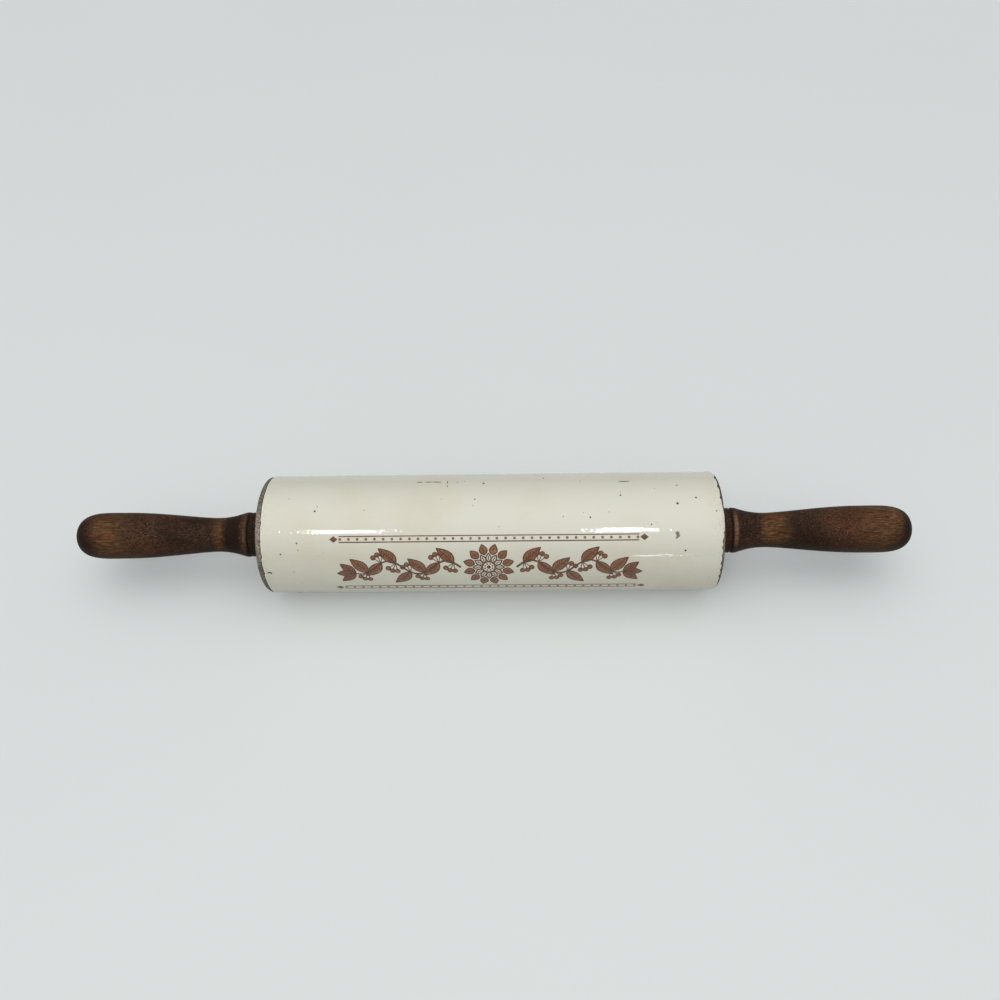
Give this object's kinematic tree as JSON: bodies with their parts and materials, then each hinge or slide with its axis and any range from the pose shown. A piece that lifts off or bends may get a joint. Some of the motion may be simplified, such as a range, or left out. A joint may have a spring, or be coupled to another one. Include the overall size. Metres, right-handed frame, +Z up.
{
  "type": "rolling pin",
  "caption": "Rolling pin with a hollow glazed stoneware barrel that turns freely on a steel rod between turned dark wooden handles.",
  "frame": {"origin": "on the table, under the middle of the pin's whole length and under its axis", "axes": "+X along the pin towards the right-hand handle, +Y away from the viewer, +Z up"},
  "size_m": [0.4256, 0.0598, 0.0599],
  "materials": {
    "glazed_stoneware": "gloss cream glaze",
    "dark_wood": "satin dark stain, worn",
    "steel": "plain drawn",
    "nylon": "natural, matt"
  },
  "bodies": {
    "roller": {"roller": "glazed_stoneware", "left_bush": "nylon", "right_bush": "nylon"},
    "washers": {"left_washer": "steel", "right_washer": "steel"},
    "spindle": {"axle_rod": "steel", "left_handle": "dark_wood", "right_handle": "dark_wood"}
  },
  "joints": [
    {"name": "end_play", "type": "slide", "parent": "roller", "child": "washers", "axis": [1, 0, 0], "range_m": [0, 0.0018]},
    {"name": "handle_spin", "type": "hinge", "parent": "washers", "child": "spindle", "pos_m": [0, 0, 0.02994], "axis": [1, 0, 0], "continuous": true}
  ]
}
